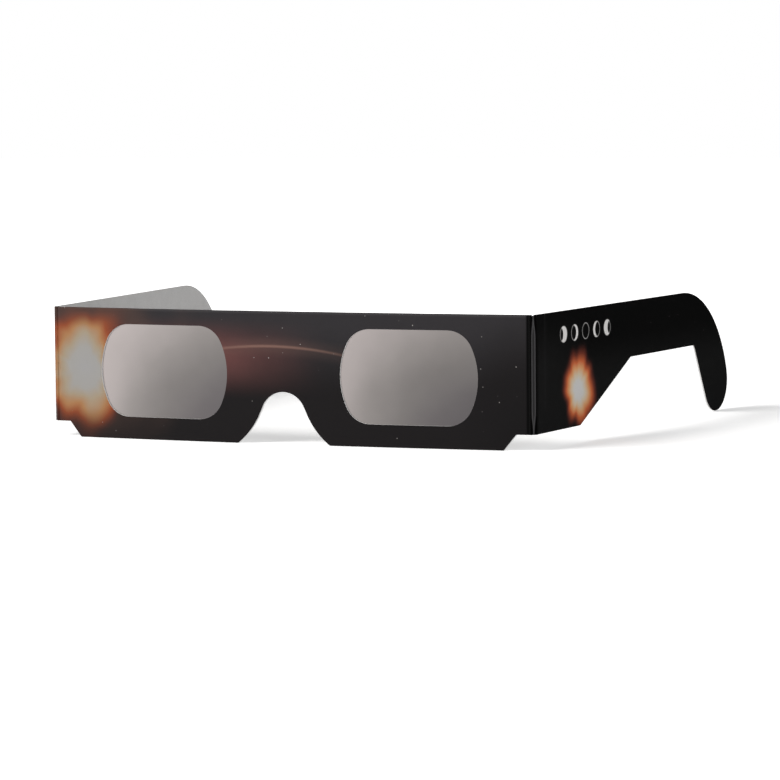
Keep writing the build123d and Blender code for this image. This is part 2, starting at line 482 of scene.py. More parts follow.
def temple_outlines():
    """Lower and upper edge of a temple, laid flat, as matching points. Rules between them stand
    upright along the band and swing round with the hook; both edges end at the foot of the tip."""
    low_z, band_z = END_RISE, FRONT_HEIGHT - TEMPLE_BAND
    slope_top = (TEMPLE_ROOT + TEMPLE_SLOPE_RUN, band_z)
    slope_middle = (TEMPLE_ROOT + TEMPLE_SLOPE_RUN / 2, (low_z + band_z) / 2)
    hook_corner = np.array([TEMPLE_LENGTH - HOOK_REACH, band_z])
    tip_centre = np.array([TEMPLE_LENGTH - HOOK_TIP_RADIUS, HOOK_TIP_RADIUS])
    gap_radius = HOOK_BACK_RADIUS - HOOK_TIP_RADIUS
    back_rise = tip_centre[1] - (FRONT_HEIGHT - HOOK_BACK_RADIUS)
    back_run = math.sqrt(gap_radius**2 - back_rise**2)
    back_start = (tip_centre[0] - back_run, FRONT_HEIGHT)
    outward = np.array([back_run, back_rise]) / gap_radius
    tip_start = tip_centre + HOOK_TIP_RADIUS * outward
    to_tip = tip_centre - hook_corner
    distance = np.linalg.norm(to_tip)
    heading = math.atan2(to_tip[1], to_tip[0]) - math.asin(HOOK_TIP_RADIUS / distance)
    down = np.array([math.cos(heading), math.sin(heading)])
    tip_end = hook_corner + down * math.sqrt(distance**2 - HOOK_TIP_RADIUS**2)
    foot = np.array([tip_centre[0], 0])
    band_lower = np.vstack([
        filleted((CARD_END, low_z), (TEMPLE_ROOT, low_z), slope_middle, ROOT_FILLET, ROOT_POINTS),
        filleted(slope_middle, slope_top, (TEMPLE_TURN, band_z), SLOPE_FILLET, SLOPE_POINTS),
    ])
    band_upper = level_run(band_lower[:, 0], FRONT_HEIGHT)
    hook_lower = np.vstack([
        filleted((TEMPLE_TURN, band_z), hook_corner, tip_end, HOOK_FILLET, HOOK_POINTS),
        tangent_arc(tip_end, down, foot, TIP_POINTS),
        foot[None, :],
    ])
    hook_upper = np.vstack([
        straight((TEMPLE_TURN, FRONT_HEIGHT), back_start, TURN_POINTS),
        tangent_arc(back_start, (1, 0), tip_start, sum(HOOK_POINTS) - TURN_POINTS),
        tangent_arc(tip_start, (outward[1], -outward[0]), foot, TIP_POINTS),
        foot[None, :],
    ])
    return np.vstack([band_lower, hook_lower]), np.vstack([band_upper, hook_upper])


def temple_foot(sign):
    """Foot of an outer crease, which a temple's own lengths start from."""
    return np.array([
        sign * (FRONT_HALF + CREASE_PITCH * math.cos(STRIP_ANGLE)),
        CREASE_Y + CREASE_PITCH * math.sin(STRIP_ANGLE),
        0,
    ])


def temple_run(sign):
    """Flat direction that a temple runs in, away from its crease."""
    return np.array([sign * math.sin(TEMPLE_SPLAY), math.cos(TEMPLE_SPLAY), 0])


def temple_face(sign):
    """Printed face of a temple: straight rules between its lower and upper edge, stood up at its
    splay."""
    lower, upper = temple_outlines()
    share = np.linspace(0, 1, TEMPLE_ROWS)[None, :, None]
    flat = lower[:, None] * (1 - share) + upper[:, None] * share
    out = np.array([sign * math.cos(TEMPLE_SPLAY), -math.sin(TEMPLE_SPLAY), 0])
    length, height = flat[..., :1], flat[..., 1:]
    points = temple_foot(sign) + length * temple_run(sign) + height * UP + (CARD / 2) * out
    faces = grid_faces(len(lower), TEMPLE_ROWS)
    return points, (faces if sign > 0 else faces[:, ::-1])


# Shader working

READY_STOPS = 2
SPECK_CORE = 0.4
NOISE_MIDDLE = 0.5

# How much finer detail a noise carries
SMOOTH = 1.0
SOFT = 2.0
CLOUDY = 3.0
GRAINY = 4.0
FIBROUS = 5.0


def feed(tree, socket, value):
    """Links an earlier step to a socket, or sets a plain value on it."""
    if isinstance(value, Step):
        tree.links.new(value.socket, socket)
    else:
        socket.default_value = value


class Step:
    """One value in a shader's working, so that a pattern is written as arithmetic."""

    def __init__(self, tree, socket):
        self.tree = tree
        self.socket = socket

    def operate(self, operation, *values):
        node = self.tree.nodes.new("ShaderNodeMath")
        node.operation = operation
        for socket, value in zip(node.inputs, values):
            feed(self.tree, socket, value)
        return Step(self.tree, node.outputs[0])

    def __add__(self, other):
        return self.operate("ADD", self, other)

    def __sub__(self, other):
        return self.operate("SUBTRACT", self, other)

    def __rsub__(self, other):
        return self.operate("SUBTRACT", other, self)

    def __mul__(self, other):
        return self.operate("MULTIPLY", self, other)

    def __truediv__(self, other):
        return self.operate("DIVIDE", self, other)

    __radd__ = __add__
    __rmul__ = __mul__

    def size(self):
        return self.operate("ABSOLUTE", self)

    def whole(self):
        return self.operate("FLOOR", self)

    def parts(self):
        """The three coordinates of a place."""
        node = self.tree.nodes.new("ShaderNodeSeparateXYZ")
        feed(self.tree, node.inputs["Vector"], self)
        return [Step(self.tree, socket) for socket in node.outputs]

    def larger(self, other):
        return self.operate("MAXIMUM", self, other)

    def far(self, other):
        """Length of the flat vector (self, other)."""
        return self.operate("SQRT", self * self + other * other)

    def ease(self, low, high):
        """Smooth step from 0 where the value is low to 1 where it is high, either way round. Most
        pairs of sizes below are a layer's low and high."""
        node = self.tree.nodes.new("ShaderNodeMapRange")
        node.interpolation_type = "SMOOTHSTEP"
        for socket, value in zip(node.inputs[:3], (self, low, high)):
            feed(self.tree, socket, value)
        return Step(self.tree, node.outputs["Result"])

    def bell(self, middle, width):
        """Smooth bump: 1 where the value is middle, 0 from width away."""
        return (self - middle).size().ease(width, 0)

    def ramp(self, stops):
        """Colour from a row of (place, colour) stops. A new ramp has its first two already."""
        node = self.tree.nodes.new("ShaderNodeValToRGB")
        ready = node.color_ramp.elements
        for index, (place, colour) in enumerate(stops):
            stop = ready[index] if index < READY_STOPS else ready.new(place)
            stop.position = place
            stop.color = (*colour, 1)
        feed(self.tree, node.inputs["Fac"], self)
        return Step(self.tree, node.outputs["Color"])

    def mix(self, first, second):
        """First colour where the value is 0, second where it is 1."""
        node = self.tree.nodes.new("ShaderNodeMix")
        node.data_type = "RGBA"
        feed(self.tree, node.inputs["Factor"], self)
        for name, colour in (("A", first), ("B", second)):
            socket = next(s for s in node.inputs if s.name == name and s.type == "RGBA")
            feed(self.tree, socket, colour if isinstance(colour, Step) else (*colour, 1))
        return Step(self.tree, next(s for s in node.outputs if s.type == "RGBA"))


class Finish:
    """A named material: its shader's plain sockets, and steps that read places on the object."""

    def __init__(self, name, specular, metallic=0.0):
        self.material = bpy.data.materials.new(name)
        self.material.use_nodes = True
        self.tree = self.material.node_tree
        self.shader = self.tree.nodes["Principled BSDF"]
        self.shader.inputs["Specular IOR Level"].default_value = specular
        self.shader.inputs["Metallic"].default_value = metallic

    def place(self, turn=0.0, shift=(0, 0, 0)):
        """Place on the piece in millimetres, turned about the upright and then shifted."""
        source = self.tree.nodes.new("ShaderNodeTexCoord")
        mapping = self.tree.nodes.new("ShaderNodeMapping")
        mapping.inputs["Scale"].default_value = (1 / MM, 1 / MM, 1 / MM)
        mapping.inputs["Rotation"].default_value = (0, 0, turn)
        mapping.inputs["Location"].default_value = shift
        self.tree.links.new(source.outputs["Object"], mapping.inputs["Vector"])
        return Step(self.tree, mapping.outputs["Vector"])

    def noise(self, place, grain, detail, stretch=(1, 1, 1)):
        """Smooth noise between 0 and 1 whose grains are grain millimetres, drawn out by stretch."""
        mapping = self.tree.nodes.new("ShaderNodeMapping")
        mapping.inputs["Scale"].default_value = tuple(1 / (grain * s) for s in stretch)
        feed(self.tree, mapping.inputs["Vector"], place)
        node = self.tree.nodes.new("ShaderNodeTexNoise")
        node.inputs["Scale"].default_value = 1.0
        node.inputs["Detail"].default_value = detail
        self.tree.links.new(mapping.outputs["Vector"], node.inputs["Vector"])
        return Step(self.tree, node.outputs["Fac"])

    def joined(self, *values):
        """One place from up to three values."""
        node = self.tree.nodes.new("ShaderNodeCombineXYZ")
        for socket, value in zip(node.inputs, values):
            feed(self.tree, socket, value)
        return Step(self.tree, node.outputs["Vector"])

    def specks(self, across, up, pitch, radius, share):
        """Round specks, one in each of a share of the cells of a scattered grid of that pitch."""
        cells = self.tree.nodes.new("ShaderNodeTexVoronoi")
        cells.voronoi_dimensions = "2D"
        cells.inputs["Scale"].default_value = 1 / pitch
        feed(self.tree, cells.inputs["Vector"], self.joined(across, up))
        chance = self.tree.nodes.new("ShaderNodeSeparateColor")
        self.tree.links.new(cells.outputs["Color"], chance.inputs["Color"])
        first, second = (Step(self.tree, chance.outputs[n]) for n in ("Red", "Green"))
        distance = Step(self.tree, cells.outputs["Distance"]) * pitch
        near = distance.ease(radius, radius * SPECK_CORE)
        return near * first.ease(share, share * SPECK_CORE) * second

    def raise_by(self, height, depth):
        """Bump of the surface by a height between 0 and 1 times depth in millimetres."""
        node = self.tree.nodes.new("ShaderNodeBump")
        node.inputs["Distance"].default_value = depth * MM
        feed(self.tree, node.inputs["Height"], height)
        self.tree.links.new(node.outputs["Normal"], self.shader.inputs["Normal"])

    def colour(self, value):
        feed(self.tree, self.shader.inputs["Base Color"], value)

    def roughness(self, value):
        feed(self.tree, self.shader.inputs["Roughness"], value)


# Inks and card, as linear colours

BLACK_INK = (0.0090, 0.0075, 0.0080)
DEEP_BLACK_INK = (0.0045, 0.0040, 0.0042)
TEMPLE_INK = (0.0034, 0.0033, 0.0033)
# Painted sheen low on the temples
TEMPLE_SHEEN_INK = (0.0102, 0.0100, 0.0100)
# Painted shade in the creases
CREASE_SHADE_INK = (0.0014, 0.0013, 0.0013)
# Grey of the painted sheen on the front's print; the temples' faint line by the crease takes it too
SHEEN_GREY_INK = (0.030, 0.0275, 0.0300)
# Painted sheen along the fold
FOLD_SHEEN_INK = (0.062, 0.058, 0.060)
EMBER_INK = (0.125, 0.050, 0.047)
STREAK_INK = (0.30, 0.17, 0.135)
HALO_INK = (0.088, 0.052, 0.042)
STAR_INK = (0.55, 0.52, 0.50)
DISC_INK = (0.80, 0.78, 0.76)
# Rubbed ink with painted sheen on the crease strips, and rubbed ink with painted highlight on their
# ridges
STRIP_RUB_AND_SHEEN_INK = (0.030, 0.029, 0.030)
RIDGE_RUB_AND_HIGHLIGHT_INK = (0.070, 0.068, 0.070)
SUN_INKS = (
    (0.00, (0.35, 0.345, 0.345)),
    (0.24, (0.35, 0.34, 0.325)),
    (0.38, (0.37, 0.30, 0.215)),
    (0.52, (0.39, 0.20, 0.090)),
    (0.66, (0.33, 0.075, 0.026)),
    (0.82, (0.14, 0.030, 0.017)),
    (1.00, (0.030, 0.011, 0.010)),
)
BARE_CARD = (0.69, 0.68, 0.67)
BARE_SHADE = (0.62, 0.61, 0.60)
FLAP_CARD = (0.80, 0.79, 0.77)
FLAP_SHADE = (0.74, 0.73, 0.70)
PALE_PULP = (0.90, 0.892, 0.88)
GREY_PULP = (0.78, 0.77, 0.755)
DRY_GLUE = (0.55, 0.52, 0.43)
GLUE_FLECK = (0.72, 0.70, 0.62)
# Painted reflection of the room in the silvered film, from cool and dark to warm and pale
FILM_REFLECTION_TINTS = (
    (0.00, (0.164, 0.151, 0.157)),
    (0.21, (0.202, 0.186, 0.187)),
    (0.42, (0.272, 0.252, 0.243)),
    (0.64, (0.380, 0.348, 0.335)),
    (0.85, (0.532, 0.480, 0.466)),
    (1.00, (0.590, 0.530, 0.515)),
)

# Gloss of the print, slightly uneven
PRINT_SPECULAR = 0.13
FRONT_ROUGHNESS = 0.30
TEMPLE_ROUGHNESS = 0.26
MOTTLE_GRAIN = 1.6
MOTTLE_ROUGHNESS = 0.10
GLOSS_GRAIN = 0.9
GLOSS_DEPTH = 0.004


# Sun with soft wisps

SUN_HUB = 0.05
WISP_GRAIN = 0.75


def sun(finish, across, up, reach, spread, drift):
    """How far a place is from the sun's middle, as a share of where its light ends. The light ends
    at reach, nearer or further by spread, where noise read on a ring of directions says so. The
    wisps change slowly along their length by drift."""
    distance = across.far(up).larger(SUN_HUB)
    direction = finish.joined(across / distance, up / distance, distance * drift)
    wisps = finish.noise(direction, WISP_GRAIN, SMOOTH) - NOISE_MIDDLE
    return distance / ((wisps * spread + 1) * reach)


# Printed front, in millimetres

TOP_Z = FRONT_HEIGHT / MM
CREASE_X = FRONT_HALF / MM
FRONT_SUN = (-60.5, 18.5)
FRONT_SUN_REACH = 19.5
FRONT_SUN_SPREAD = 1.1
FRONT_SUN_DRIFT = 0.06
FRONT_SUN_LIGHT = (1.1, 0.5)
SHADED_SHARE = 0.2
SHADED_TOP = (TOP_Z, TOP_Z - 6.0)
SHADED_FOOT = (1.0, 9.0)
WARP_GRAIN = 8.0
WARP = 4.0
HALO_REACH = (1.9, 0.7)
HALO_HEIGHT = (-6.0, 16.0)
HALO_SHARE = 0.7
CLOUD_GRAIN = 14.0
# Painted sheen over the front, paler towards the top
TOP_SHEEN_FOOT = 12.0
TOP_SHEEN_CLIMB = 6.0
TOP_SHEEN_CLIMB_RUN = (48.0, 66.0)
TOP_SHEEN_HEIGHT = (0.0, 22.0)
TOP_SHEEN_SHARE = 0.85
TOP_SHEEN_CLOUD = 0.3
DEEP_RUN = (45.0, 68.0)
DEEP_HEIGHT = (24.0, 4.0)
DEEP_SHARE = 0.55
# Painted sheen along the fold
FOLD_SHEEN_HEIGHT = (TOP_Z - 0.9, TOP_Z - 0.2)
FOLD_SHEEN_SHARE = 0.5
EMBER_RUN = (14.0, -26.0)
EMBER_LEVEL = 22.8
EMBER_RISE = 11.5
EMBER_SHARE = 0.6
EMBER_CLOUD = 0.9
STREAK_MIDDLE = (-4.0, 26.0)
STREAK_HALF = 36.0
STREAK_FALL = 0.0045
STREAK_CORE = 0.6
STREAK_CORE_SHARE = 0.50
STREAK_VEIL = 3.5
STREAK_VEIL_SHARE = 0.12
STAR_PITCH = 4.6
STAR_RADIUS = 0.16
STAR_SHARE = 0.28
# Painted shade by the crease
CREASE_SHADE_RUN = (CREASE_X - 1.3, CREASE_X - 0.8)


def sunlit(finish, place, across, up, ground):
    """The ground with the front's sun over it: a faint halo, then the sun's own inks, dimmer along
    the top and bottom edge."""
    warp = (finish.noise(place, WARP_GRAIN, SMOOTH) - NOISE_MIDDLE) * WARP
    reached = sun(
        finish, across - FRONT_SUN[0] + warp, up - FRONT_SUN[1] + warp,
        FRONT_SUN_REACH, FRONT_SUN_SPREAD, FRONT_SUN_DRIFT,
    )
    halo = reached.ease(*HALO_REACH) * up.ease(*HALO_HEIGHT) * HALO_SHARE
    ground = halo.mix(ground, HALO_INK)
    unshaded = up.ease(*SHADED_TOP) * up.ease(*SHADED_FOOT)
    light = reached.ease(*FRONT_SUN_LIGHT) * (unshaded * (1 - SHADED_SHARE) + SHADED_SHARE)
    return light.mix(ground, reached.ramp(SUN_INKS))


def front_print():
    """Night ground with a painted sheen that grows paler towards the top, a painted sheen along the
    fold, an ember haze, an arching streak, scattered stars, a sun with soft wisps at one end, and
    painted shade by the crease. Faintly glossy."""
    finish = Finish("front_print", PRINT_SPECULAR)
    place = finish.place()
    across, depth, up = place.parts()
    cloud = finish.noise(place, CLOUD_GRAIN, GRAINY)
    mottle = finish.noise(place, MOTTLE_GRAIN, GRAINY)
    # Painted sheen: paler towards the top, from a foot that rises near the end
    top_sheen_foot = across.ease(*TOP_SHEEN_CLIMB_RUN) * TOP_SHEEN_CLIMB + TOP_SHEEN_FOOT
    top_sheen = (up - top_sheen_foot).ease(*TOP_SHEEN_HEIGHT) * (cloud * TOP_SHEEN_CLOUD + TOP_SHEEN_SHARE)
    ground = top_sheen.mix(BLACK_INK, SHEEN_GREY_INK)
    corner = across.ease(*DEEP_RUN) * up.ease(*DEEP_HEIGHT) * DEEP_SHARE
    ground = corner.mix(ground, DEEP_BLACK_INK)
    # Painted sheen along the fold
    ground = (up.ease(*FOLD_SHEEN_HEIGHT) * FOLD_SHEEN_SHARE).mix(ground, FOLD_SHEEN_INK)
    haze = across.ease(*EMBER_RUN) * up.bell(EMBER_LEVEL, EMBER_RISE)
    ground = (haze * (cloud * EMBER_CLOUD + EMBER_SHARE)).mix(ground, EMBER_INK)
    run = across - STREAK_MIDDLE[0]
    arch = up - STREAK_MIDDLE[1] + run * run * STREAK_FALL
    fade = run.size().ease(STREAK_HALF, 0.0)
    core = arch.bell(0.0, STREAK_CORE) * STREAK_CORE_SHARE
    veil = arch.bell(0.0, STREAK_VEIL) * STREAK_VEIL_SHARE
    ground = ((core + veil) * fade).mix(ground, STREAK_INK)
    stars = finish.specks(across, up, STAR_PITCH, STAR_RADIUS, STAR_SHARE)
    ground = sunlit(finish, place, across, up, stars.mix(ground, STAR_INK))
    # Painted shade by the crease
    finish.colour(across.ease(*CREASE_SHADE_RUN).mix(ground, CREASE_SHADE_INK))
    finish.roughness(mottle * MOTTLE_ROUGHNESS + FRONT_ROUGHNESS)
    finish.raise_by(finish.noise(place, GLOSS_GRAIN, SOFT), GLOSS_DEPTH)
    return finish.material


# Printed temples, in millimetres from the outer crease

TEMPLE_SUN = (26.0, 13.6)
TEMPLE_SUN_REACH = 10.8
TEMPLE_SUN_GAIN = 1.9
TEMPLE_SUN_SPREAD = 0.9
TEMPLE_SUN_DRIFT = 0.02
TEMPLE_SUN_LIGHT = (1.1, 0.6)
# Painted sheen lower down and by the root, and painted shade in the 2 mm by the crease
TEMPLE_SHEEN_HEIGHT = (28.0, 14.0)
ROOT_SHEEN_RUN = (40.0, 5.0)
ROOT_SHEEN_HEIGHT = (36.0, 20.0)
TEMPLE_CREASE_SHADE = (0.2, 2.0)
TEMPLE_STAR_PITCH = 6.2
TEMPLE_STAR_RADIUS = 0.14
TEMPLE_STAR_SHARE = 0.2
PRESSED_LINE = 5.4
PRESSED_WIDTH = 0.7
PRESSED_HEIGHT = (9.0, 12.0)
PRESSED_SHARE = 0.3

# Row of bitten discs
DISC_START = 13.5
DISC_PITCH = 7.0
DISC_COUNT = 5
DISC_Z = 29.1
DISC_RADIUS = 2.1
DISC_EDGE = 0.06
BITE_STEP = 1.15
BITE_OUTSIDE = 0.02
BITE_INSIDE = 0.10
RIM_WIDTH = 0.22
RIM_SHARE = 0.5
ROW_EDGE = 0.01


def bitten_discs(along, up):
    """A row of discs, each bitten by an equal disc that slides across it from one to the next."""
    cell = (along - DISC_START) / DISC_PITCH
    number = cell.whole()
    offset = (cell - number - 0.5) * DISC_PITCH
    rise = up - DISC_Z
    slide = (number - (DISC_COUNT - 1) / 2) * BITE_STEP
    distance = offset.far(rise)
    disc = distance.ease(DISC_RADIUS + DISC_EDGE, DISC_RADIUS - DISC_EDGE)
    bite = (offset - slide).far(rise).ease(DISC_RADIUS + BITE_OUTSIDE, DISC_RADIUS - BITE_INSIDE)
    rim = distance.bell(DISC_RADIUS, RIM_WIDTH) * RIM_SHARE
    in_row = cell.ease(-ROW_EDGE, 0.0) * cell.ease(DISC_COUNT + ROW_EDGE, DISC_COUNT)
    return (disc * (1 - bite)).larger(rim) * in_row


def temple_print(side, sign):
    """Deep black ground with a painted sheen lower down and by the root, held off the crease by
    painted shade, a faint pressed line by the crease, a small sun with soft wisps by the root, and a
    row of bitten discs."""
    finish = Finish(f"{side}_arm_print", PRINT_SPECULAR)
    start = temple_foot(sign) @ temple_run(sign) / MM
    place = finish.place(sign * TEMPLE_SPLAY, (0, -start, 0))
    across, along, up = place.parts()
    mottle = finish.noise(place, MOTTLE_GRAIN, GRAINY)
    # Painted sheen lower down and by the root, held off the first 2 mm by the crease as painted shade
    root_sheen = along.ease(*ROOT_SHEEN_RUN) * up.ease(*ROOT_SHEEN_HEIGHT)
    pale = up.ease(*TEMPLE_SHEEN_HEIGHT).larger(root_sheen) * along.ease(*TEMPLE_CREASE_SHADE)
    ground = pale.mix(TEMPLE_INK, TEMPLE_SHEEN_INK)
    stars = finish.specks(along, up, TEMPLE_STAR_PITCH, TEMPLE_STAR_RADIUS, TEMPLE_STAR_SHARE)
    ground = stars.mix(ground, STAR_INK)
    pressed = along.bell(PRESSED_LINE, PRESSED_WIDTH) * up.ease(*PRESSED_HEIGHT) * PRESSED_SHARE
    # The faint line by the crease, lighter in the grey of the front's painted sheen
    ground = pressed.mix(ground, SHEEN_GREY_INK)
    ground = bitten_discs(along, up).mix(ground, DISC_INK)
    reached = sun(
        finish, along - TEMPLE_SUN[0], up - TEMPLE_SUN[1],
        TEMPLE_SUN_REACH, TEMPLE_SUN_SPREAD, TEMPLE_SUN_DRIFT,
    )
    inks = [(stop, tuple(TEMPLE_SUN_GAIN * part for part in ink)) for stop, ink in SUN_INKS]
    finish.colour(reached.ease(*TEMPLE_SUN_LIGHT).mix(ground, reached.ramp(inks)))
    finish.roughness(mottle * MOTTLE_ROUGHNESS + TEMPLE_ROUGHNESS)
    finish.raise_by(finish.noise(place, GLOSS_GRAIN, SOFT), GLOSS_DEPTH)
    return finish.material


# Crease strips' print, in millimetres

STRIP_SPECULAR = 0.06
STRIP_ROUGHNESS = 0.36
STRIP_BARE_ROUGHER = 0.5
STRIP_END = 6.0
RIDGES_JOIN = (0.1, 1.0)
RIDGE_PAINT = 0.24
STRIP_PAINT = 0.36
RUB_GRAIN = 0.5
RUB_STRETCH = (1, 1, 6)
RUB_CHANGE = 0.5
RUB_LEAST = 0.75
BARE_OUT = (-0.08, -0.14)
BARE_WIDTH = 0.6
BARE_EDGE = (0.0, 0.2)
CRACK_GRAIN = 0.35
CRACK_STRETCH = (1, 1, 5)
CRACK_DEPTH = 0.012


def strip_print():
    """Painted shade in the creases; between them rubbed ink with painted sheen, lighter still on the
    two ridges by rubbed ink and painted highlight, which run together at both ends; the front's sun
    running on over it, and bare card on the inner side. Places along and out of the strip are (|x|,
    y) times its own two directions."""
    finish = Finish("strip_print", STRIP_SPECULAR)
    place = finish.place()
    across, depth, up = place.parts()
    pitch = CREASE_PITCH / MM
    cosine, sine = math.cos(STRIP_ANGLE), math.sin(STRIP_ANGLE)
    beside, behind = across.size() - CREASE_X, depth - CREASE_Y / MM
    along = beside * cosine + behind * sine
    out = beside * sine - behind * cosine
    from_low = (up - END_RISE / MM) / STRIP_END
    from_high = (TOP_Z - up) / STRIP_END
    parting = from_low.ease(*RIDGES_JOIN) * from_high.ease(*RIDGES_JOIN) * (RIDGE_PARTING / MM)
    from_ridge = (along - pitch / 2).size() - parting
    rub = finish.noise(place, RUB_GRAIN, GRAINY, RUB_STRETCH) * RUB_CHANGE + RUB_LEAST
    # Painted shade in the creases, rubbed ink with painted sheen between them, and rubbed ink with
    # painted highlight on the ridges
    ground = from_ridge.ease(STRIP_PAINT, 0.0).mix(CREASE_SHADE_INK, STRIP_RUB_AND_SHEEN_INK)
    ground = (from_ridge.bell(0.0, RIDGE_PAINT) * rub).mix(ground, RIDGE_RUB_AND_HIGHLIGHT_INK)
    middle = along.bell(pitch / 2, pitch * BARE_WIDTH).ease(*BARE_EDGE)
    bare = out.ease(*BARE_OUT) * middle
    finish.colour(bare.mix(sunlit(finish, place, across, up, ground), BARE_CARD))
    finish.roughness(bare * STRIP_BARE_ROUGHER + STRIP_ROUGHNESS)
    finish.raise_by(finish.noise(place, CRACK_GRAIN, CLOUDY, CRACK_STRETCH), CRACK_DEPTH)
    return finish.material


# Unprinted card, in millimetres

CARD_SPECULAR = 0.3
BARE_ROUGHNESS = 0.9
BARE_FIBRES = 0.006
FLAP_ROUGHNESS = 0.55
FLAP_FIBRES = 0.003
FIBRE_GRAIN = 0.25
FIBRE_STRETCH = (1, 4, 1)
FIBRE_SHARE = 0.6
PATCH_GRAIN = 3.5
PULP_BLEND = (0.25, 0.75)
LAP_EDGE = (TOP_Z - 1.75, TOP_Z - 1.65)
LAP_GRAIN = 2.5
LAP_SWAY = 0.5


def pulp(finish, place, pale, shade, fibre_depth):
    """Colour of unprinted card: pale pulp with drawn-out fibres and slow cloudy patches. The fibres
    also stand out from the surface."""
    fibres = finish.noise(place, FIBRE_GRAIN, FIBROUS, FIBRE_STRETCH)
    patches = finish.noise(place, PATCH_GRAIN, CLOUDY)
    finish.raise_by(fibres, fibre_depth)
    blend = fibres * FIBRE_SHARE + patches * (1 - FIBRE_SHARE)
    return blend.ease(*PULP_BLEND).mix(shade, pale)


def bare_side():
    """Unprinted back of the card, matt."""
    finish = Finish("bare_side", CARD_SPECULAR)
    finish.colour(pulp(finish, finish.place(), BARE_CARD, BARE_SHADE, BARE_FIBRES))
    finish.roughness(BARE_ROUGHNESS)
    return finish.material


def flap_side():
    """Unprinted coated side of the card, with the black print lapping over the fold."""
    finish = Finish("flap_side", CARD_SPECULAR)
    place = finish.place()
    across, depth, up = place.parts()
    paper = pulp(finish, place, FLAP_CARD, FLAP_SHADE, FLAP_FIBRES)
    ragged = (finish.noise(place, LAP_GRAIN, CLOUDY) - NOISE_MIDDLE) * LAP_SWAY
    finish.colour((up + ragged).ease(*LAP_EDGE).mix(paper, BLACK_INK))
    finish.roughness(FLAP_ROUGHNESS)
    return finish.material


# Cut core of the card, in millimetres

CUT_SPECULAR = 0.2
CUT_ROUGHNESS = 0.85
SMEAR_GRAIN = 0.3
SMEAR_BLEND = (0.3, 0.75)
SMEAR_DEPTH = 0.02
UNCUT_ACROSS = (CREASE_X - 0.8, CREASE_X - 0.5)
UNCUT_DEPTH = (-61.9, -62.3)


def cut_edges():
    """Cut core of the card: pale pulp that the knife greyed here and there. At the creases the card
    isn't cut, so the ink runs on there."""
    finish = Finish("cut_edge", CUT_SPECULAR)
    place = finish.place()
    across, depth, up = place.parts()
    smear = finish.noise(place, SMEAR_GRAIN, GRAINY)
    core = smear.ease(*SMEAR_BLEND).mix(PALE_PULP, GREY_PULP)
    uncut = across.size().ease(*UNCUT_ACROSS) * depth.ease(*UNCUT_DEPTH)
    finish.colour(uncut.mix(core, DEEP_BLACK_INK))
    finish.roughness(CUT_ROUGHNESS)
    finish.raise_by(smear, SMEAR_DEPTH)
    return finish.material


# Filter film, in millimetres

FILM_SPECULAR = 0.5
FILM_METALLIC = 1.0
FILM_ROUGHNESS = 0.26
BRUSH_GRAIN = 0.6
BRUSH_STRETCH = (6, 1, 1)
BRUSH_ROUGHNESS = 0.06
RIPPLE_GRAIN = 6.0
RIPPLE_DEPTH = 0.012
NOSE_RUN = (-1.0, 1.0)

# The film's painted reflection and tint, whose own scale runs from 0, cool and dark, to 1, warm and
# pale
TINT_GRAIN = 11.0
TINT_SWAY = 0.18
TINT_MIDDLE = 0.620
REFLECTION_RISE = 0.0204
REFLECTION_FALL = 0.0196
REFLECTION_FALL_SIDE = 0.0012
REFLECTION_SIDE = 0.020
REFLECTION_CURVE = 0.0003
REFLECTION_TWIST = 0.00045
TINT_SPAN = 0.85


def filter_film():
    """Silvered film with a painted reflection: warm and pale at one upper corner, cool and dark at
    the corner across, with faint slow tints in the metal. The painted reflection is a curved slope
    over the window."""
    finish = Finish("silvered_film", FILM_SPECULAR, FILM_METALLIC)
    place = finish.place()
    across, depth, up = place.parts()
    side = across.ease(*NOSE_RUN) * 2 - 1
    local = across - side * (WINDOW_CENTRE[0] / MM)
    level = up - WINDOW_CENTRE[1] / MM
    sway = (finish.noise(place, TINT_GRAIN, SOFT) - NOISE_MIDDLE) * TINT_SWAY
    # Painted reflection: a tilted, curved slope over each window, the two eyes set a little apart
    reflection_curve = (local * local + level * level) * REFLECTION_CURVE + local * level * REFLECTION_TWIST
    slope = level * REFLECTION_RISE - local * (REFLECTION_FALL - side * REFLECTION_FALL_SIDE)
    reflection_and_tint = slope + reflection_curve + sway - side * REFLECTION_SIDE + TINT_MIDDLE
    finish.colour((reflection_and_tint * TINT_SPAN).ramp(FILM_REFLECTION_TINTS))
    brushed = finish.noise(place, BRUSH_GRAIN, SOFT, BRUSH_STRETCH)
    finish.roughness(brushed * BRUSH_ROUGHNESS + FILM_ROUGHNESS)
    finish.raise_by(finish.noise(place, RIPPLE_GRAIN, SMOOTH), RIPPLE_DEPTH)
    return finish.material


# Dry glue, in millimetres

GLUE_SPECULAR = 0.4
GLUE_ROUGHNESS = 0.6
FLECK_GRAIN = 0.8
FLECK_BLEND = (0.3, 0.7)
FLECK_DEPTH = 0.01


def dry_glue():
    """Thin dry glue, in flecks."""
    finish = Finish("dry_glue", GLUE_SPECULAR)
    flecks = finish.noise(finish.place(), FLECK_GRAIN, GRAINY)
    finish.colour(flecks.ease(*FLECK_BLEND).mix(DRY_GLUE, GLUE_FLECK))
    finish.roughness(GLUE_ROUGHNESS)
    finish.raise_by(flecks, FLECK_DEPTH)
    return finish.material


# Pieces

bare_card = bare_side()
cut_card = cut_edges()
printed_front = front_print()
film_metal = filter_film()
crease_print = strip_print()

front_card = sheet_of(
    "front_card",
    [fold_over(), panel_half(False), panel_half(True), end_tab(False), end_tab(True)],
    [printed_front, bare_card, cut_card],
)
make_card(front_card)
stands_for(front_card, "front", "printed_card", "front_panel", "top_fold")

